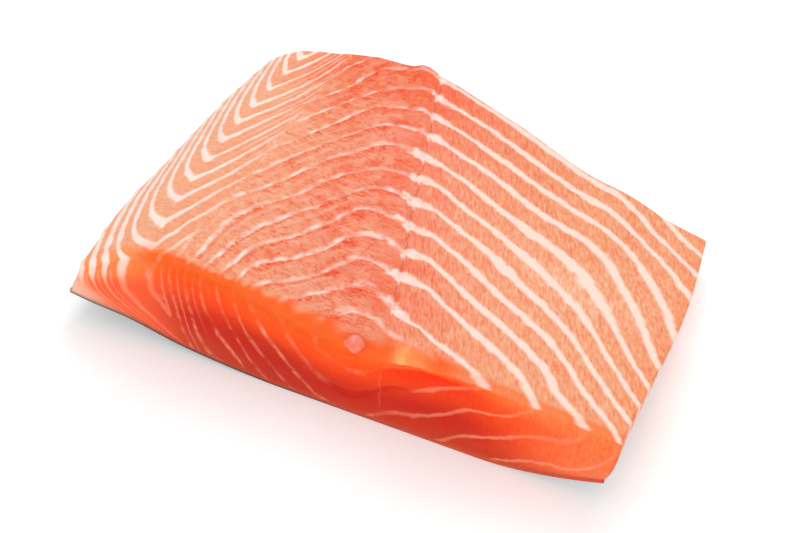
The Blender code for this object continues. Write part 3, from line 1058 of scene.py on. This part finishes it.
def flesh_material(seams, fibres, torn):
    material, tree, shader = start_material("raw flesh")
    place = tree.place()
    tint = tree.node("ShaderNodeAttribute", attribute_name="tint").outputs["Color"]
    belly = tree.value("belly")
    centre = tree.value("centre")
    off = tree.value("off")
    ragged = tree.scaled(tree.noise(place, 380.0, 2.5), 0.25, 0.75, -0.045, 0.045)
    slow = tree.scaled(tree.noise(place, 230.0, 1.0), 0.3, 0.7, 0.55, 1.45)
    phase = tree.total(tree.value("phase"), ragged)

    # Seams of the loin and the belly, with their knots at the midline
    wander = tree.scaled(tree.noise(place, 480.0, 3.0), 0.25, 0.75, -2.0, 2.0)
    roam = tree.scaled(tree.noise(place, 110.0, 0.0), 0.25, 0.75, -2.2, 2.2)
    strayed = tree.total(tree.total(off, wander), roam)
    strayed = tree.most(tree.product(strayed, 0.55), tree.product(strayed, -1.2))
    knot = tree.product(tree.scaled(strayed, 3.2, 0.6, smooth=True), tree.value("midline"))
    width = tree.total(tree.product(tree.value("seam_width"), slow), tree.product(knot, 0.10))
    softness = tree.value("softness")
    main = tree.group(seams, Phase=phase, Half_Width=width, Softness=softness)
    broken = tree.blend_values(belly, tree.scaled(tree.noise(place, 300.0, 2.0), 0.38, 0.62, 0.15, 1.35), 1.0)
    strength = tree.product(tree.value("seam_strength"), broken)
    strength = tree.most(strength, tree.product(knot, 0.88))
    seam = tree.product(main["Seam"], strength)
    near = tree.total(tree.product(wander, 0.3), off)
    tail = tree.product(
        tree.line(near, 0.55, 0.18),
        tree.scaled(main["Share"], 0.60, 0.80),
        tree.value("midline"),
    )
    crack = tree.product(
        tree.line(near, 0.34, 0.04),
        tree.scaled(main["Share"], 0.80, 0.55),
        tree.value("midline"),
    )

    # Chevron seams of the outer loin, and the thin lines between two seams
    side_share = tree.value("side")
    side_phase_value = tree.total(tree.value("phase2"), ragged)
    side_width = tree.product(tree.value("side_width"), slow)
    side = tree.group(seams, Phase=side_phase_value, Half_Width=side_width, Softness=0.15)
    seam = tree.blend_values(side_share, seam, tree.product(side["Seam"], tree.value("side_strength")))
    either = tree.blend_values(side_share, phase, side_phase_value)
    halved = tree.total(either, 0.5)
    between = tree.group(seams, Phase=halved, Half_Width=0.02, Softness=0.07)
    seam = tree.most(seam, tree.product(between["Seam"], tree.value("between")))
    dots = tree.product(
        tree.scaled(tree.noise(place, 520.0, 3.0), 0.54, 0.66),
        tree.line(tree.value("margin"), 2.2, 0.3),
    )
    seam = tree.most(seam, tree.product(dots, 0.35))
    seam = tree.most(seam, tree.product(tail, 0.85))
    septum = tree.line(tree.total(off, 1.3), 0.42, 0.12)
    seam = tree.most(seam, tree.product(septum, tree.value("septum")))

    # Fibres, spots and tears of the flesh between the seams, with painted shade under the flake rims and in
    # the tears
    tilted = tree.turned(place, BELLY_FIBRE_TURN)
    turned = tree.turned(place, LOIN_FIBRE_TURN)
    along = tree.group(fibres, Vector=tilted, Density=BELLY_FIBRES, Waviness=0.3)["Strokes"]
    across = tree.group(fibres, Vector=turned, Density=LOIN_FIBRES, Waviness=1.3)["Strokes"]
    strokes = tree.blend_values(belly, across, along)
    depth = tree.product(tree.value("fibre_depth"), tree.blend_values(belly, 0.87, 0.92))
    grain = tree.blend(strokes, DARK_STROKE, LIGHT_STROKE)
    painted = tree.tinted(tree.blend(depth, WHITE, grain), tint)
    # Painted shade: darker orange dashes just in front of each flake's rim, where its small shadow falls
    dashes = tree.scaled(strokes, 0.85, 0.35)
    under_rim = tree.product(
        tree.scaled(main["Share"], 0.55, 0.85), tree.scaled(main["Share"], 0.99, 0.93), dashes, centre
    )
    painted = tree.tinted(tree.blend(under_rim, WHITE, RIM_SHADE), painted)
    spots = tree.product(
        tree.scaled(tree.noise(place, 260.0, 3.0), 0.53, 0.66, smooth=True),
        tree.scaled(main["Share"], 0.30, 0.70),
        centre,
    )
    painted = tree.blend(tree.product(spots, 0.80), painted, solid(SPOT_TONE))
    light = tree.product(tree.scaled(tree.noise(place, 260.0, 4.0), 0.50, 0.60, smooth=True), centre, 0.35)
    painted = tree.blend(light, painted, solid(PALE_TONE))
    # Torn fibres: grooves in the bump, darkened with painted shade
    tears = tree.product(tree.group(torn, Vector=turned, Density=TEARS)["Lines"], centre)
    painted = tree.tinted(tree.blend(tears, WHITE, TEAR_SHADE), painted)
    painted = tree.blend(tree.product(crack, 0.5), painted, solid(CRACK_TONE))
    # Painted shade: a dark-red line along the crease of the front cut
    narrow = tree.group(seams, Phase=phase, Half_Width=0.015, Softness=0.10)["Seam"]
    painted = tree.blend(tree.product(narrow, tree.value("crease"), 0.65), painted, solid(CREASE_SHADE_TONE))
    white = tree.most(knot, tree.product(side_share, 0.8))
    pale = tree.blend(white, solid(SEAM_TONE), solid(KNOT_TONE))
    pale = tree.blend(tree.value("inner"), pale, solid(FACE_SEAM_TONE))
    painted = tree.blend(seam, painted, pale)
    tree.feed(shader.inputs["Base Color"], painted)

    tree.feed(shader.inputs["Roughness"], tree.scaled(strokes, 0.0, 1.0, 0.34, 0.48))
    rise = tree.math("SUBTRACT", tree.product(strokes, depth), tree.product(crack, 1.5))
    rise = tree.total(tree.math("SUBTRACT", rise, tears), tree.product(seam, 0.5))
    add_bump(tree, shader, 0.22, rise)
    set_sockets(shader, Subsurface_Weight=0.20, Subsurface_Radius=(1.0, 0.35, 0.18))
    set_sockets(shader, Subsurface_Scale=0.003, Specular_IOR_Level=0.12)
    return material


def skin_material():
    material, tree, shader = start_material("fish skin")
    place = tree.place()
    scales = tree.node("ShaderNodeTexVoronoi", {"Vector": place, "Scale": 420.0}, feature="DISTANCE_TO_EDGE")
    rim = tree.scaled(scales.outputs[0], 0.0, 0.12)
    split = tree.node("ShaderNodeSeparateXYZ", {"Vector": place}).outputs
    back = tree.scaled(split[0], -0.07, 0.045)
    ground = tree.blend(back, solid(SKIN_BACK_TONE), solid(SKIN_BELLY_TONE))
    scaly = tree.blend(rim, solid(SKIN_RIM_TONE), ground)
    edge = tree.blend(tree.scaled(split[0], -0.02, 0.03), solid(SKIN_EDGE_TONE), solid(SKIN_EDGE_PALE_TONE))
    fat = tree.blend(tree.scaled(split[0], -0.072, -0.050), solid(TIP_TONE), solid(FOOT_TONE))
    edge = tree.blend(tree.value("fat"), edge, fat)
    painted = tree.blend(tree.value("edge"), scaly, edge)
    tree.feed(shader.inputs["Base Color"], painted)
    set_sockets(shader, Roughness=0.45, Specular_IOR_Level=0.2)
    add_bump(tree, shader, 0.5, rim)
    return material


def fat_material(fibres):
    """Soft tissue of the lump of fat."""
    material, tree, shader = start_material("fat")
    strokes = tree.group(fibres, Vector=tree.place(), Density=LUMP_FIBRES)["Strokes"]
    ground = solid(mix(FAT_TONE, FAT_LIGHT_TONE, LUMP_PALENESS))
    tree.feed(shader.inputs["Base Color"], tree.blend(tree.product(strokes, 0.25), ground, solid(PATCH_TONE)))
    add_bump(tree, shader, 0.3, strokes)
    set_sockets(shader, Roughness=0.25, Coat_Weight=0.25, Coat_Roughness=0.15)
    set_sockets(shader, Subsurface_Weight=0.35, Subsurface_Radius=(1.0, 0.45, 0.25), Subsurface_Scale=0.003)
    return material


def floor_material():
    material, _, shader = start_material("white table")
    set_sockets(shader, Base_Color=TABLE_TONE, Roughness=0.8, Specular_IOR_Level=0.1)
    set_sockets(shader, Emission_Color=WHITE, Emission_Strength=TABLE_GLOW)
    return material


def join_fish(piece, node, material):
    piece.data.materials.append(material)
    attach(piece, "root")
    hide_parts(node)


def make_flesh(shift, material):
    cells = (CELLS_ACROSS, CELLS_ALONG, CELLS_UP)
    mesh = block(cells)
    thin_underside(mesh, cells, UNDERSIDE_STRIDE)
    form = Flesh(*coordinates(mesh).T)
    piece = settle(mesh, "fillet_flesh", form.spots(), shift)
    for name, values in (form.seam_values() | form.masks()).items():
        write_value(piece, name, values)
    write_colour(piece, "tint", form.tint())
    join_fish(piece, "flesh", material)


def make_skin(shift):
    mesh = block((SKIN_CELLS_ACROSS, SKIN_CELLS_ALONG, 2))
    a, b, c = coordinates(mesh).T
    x = a * mix(SKIN_WIDTH, SKIN_REAR_WIDTH, b)
    spots = np.stack([x, reach(x) * b, under_height(x, b) + SKIN_THICKNESS * c], axis=1)
    piece = settle(mesh, "fillet_skin", spots, shift)
    rim = (a < SAME) | (a > 1.0 - SAME) | (b < SAME) | (b > 1.0 - SAME)
    write_value(piece, "edge", rim)
    write_value(piece, "fat", ease(1.6 * c - 0.4))
    join_fish(piece, "skin", skin_material())


def make_lump(shift, material):
    """A small flattened lump of fat, pressed into the flesh."""
    mesh = bmesh.new()
    bmesh.ops.create_icosphere(mesh, subdivisions=4, radius=1.0)
    points = coordinates(mesh)
    across, along, up = LUMP_GRAIN * points.T
    rough = 1.0 + LUMP_ROUGHNESS * layered_cloud(across + up / LUMP_GRAIN, along, LUMP_SEED)
    spots = np.array(LUMP_SPOT) + points * rough[:, None] * np.array(LUMP_SIZE)
    join_fish(settle(mesh, "fat_lump", spots, shift), "flesh", material)


def make_floor():
    mesh = bmesh.new()
    bmesh.ops.create_grid(mesh, x_segments=1, y_segments=1, size=TABLE_SIZE)
    floor = add_mesh("table", mesh)
    floor.data.materials.append(floor_material())


def make_light(name, spot, size, power):
    """A round light that faces the piece."""
    data = bpy.data.lights.new(name, "AREA")
    data.shape = "DISK"
    data.size = size
    data.energy = power
    light = add_object(name, data)
    light.location = spot
    light.rotation_euler = (-Vector(spot)).to_track_quat("-Z", "Y").to_euler()


def make_studio(shift):
    scene = bpy.context.scene
    scene.view_settings.view_transform = "Standard"
    world = bpy.data.worlds.new("studio")
    scene.world = world
    world.use_nodes = True
    backdrop = world.node_tree.nodes["Background"]
    set_sockets(backdrop, Color=WHITE, Strength=BACKDROP)
    for light in LIGHTS:
        make_light(*light)
    data = bpy.data.cameras.new("camera")
    data.lens = LENS
    data.sensor_width = SENSOR
    data.clip_start = 0.01
    camera = add_object("camera", data)
    turn = Matrix.Rotation(math.radians(CAMERA_AZIMUTH), 4, "Z")
    tilt = Matrix.Rotation(math.radians(90.0 - CAMERA_ELEVATION), 4, "X")
    camera.matrix_world = Matrix.Translation(Vector(CAMERA_SPOT) + Vector(shift)) @ turn @ tilt
    scene.camera = camera


def main():
    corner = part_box("skin")[0]
    shift = np.array([corner[0], corner[1], 0.0])
    seams = seam_group()
    fibres = fibre_group()
    make_flesh(shift, flesh_material(seams, fibres, torn_group()))
    make_skin(shift)
    make_lump(shift, fat_material(fibres))
    make_floor()
    make_studio(shift)
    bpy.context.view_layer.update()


main()
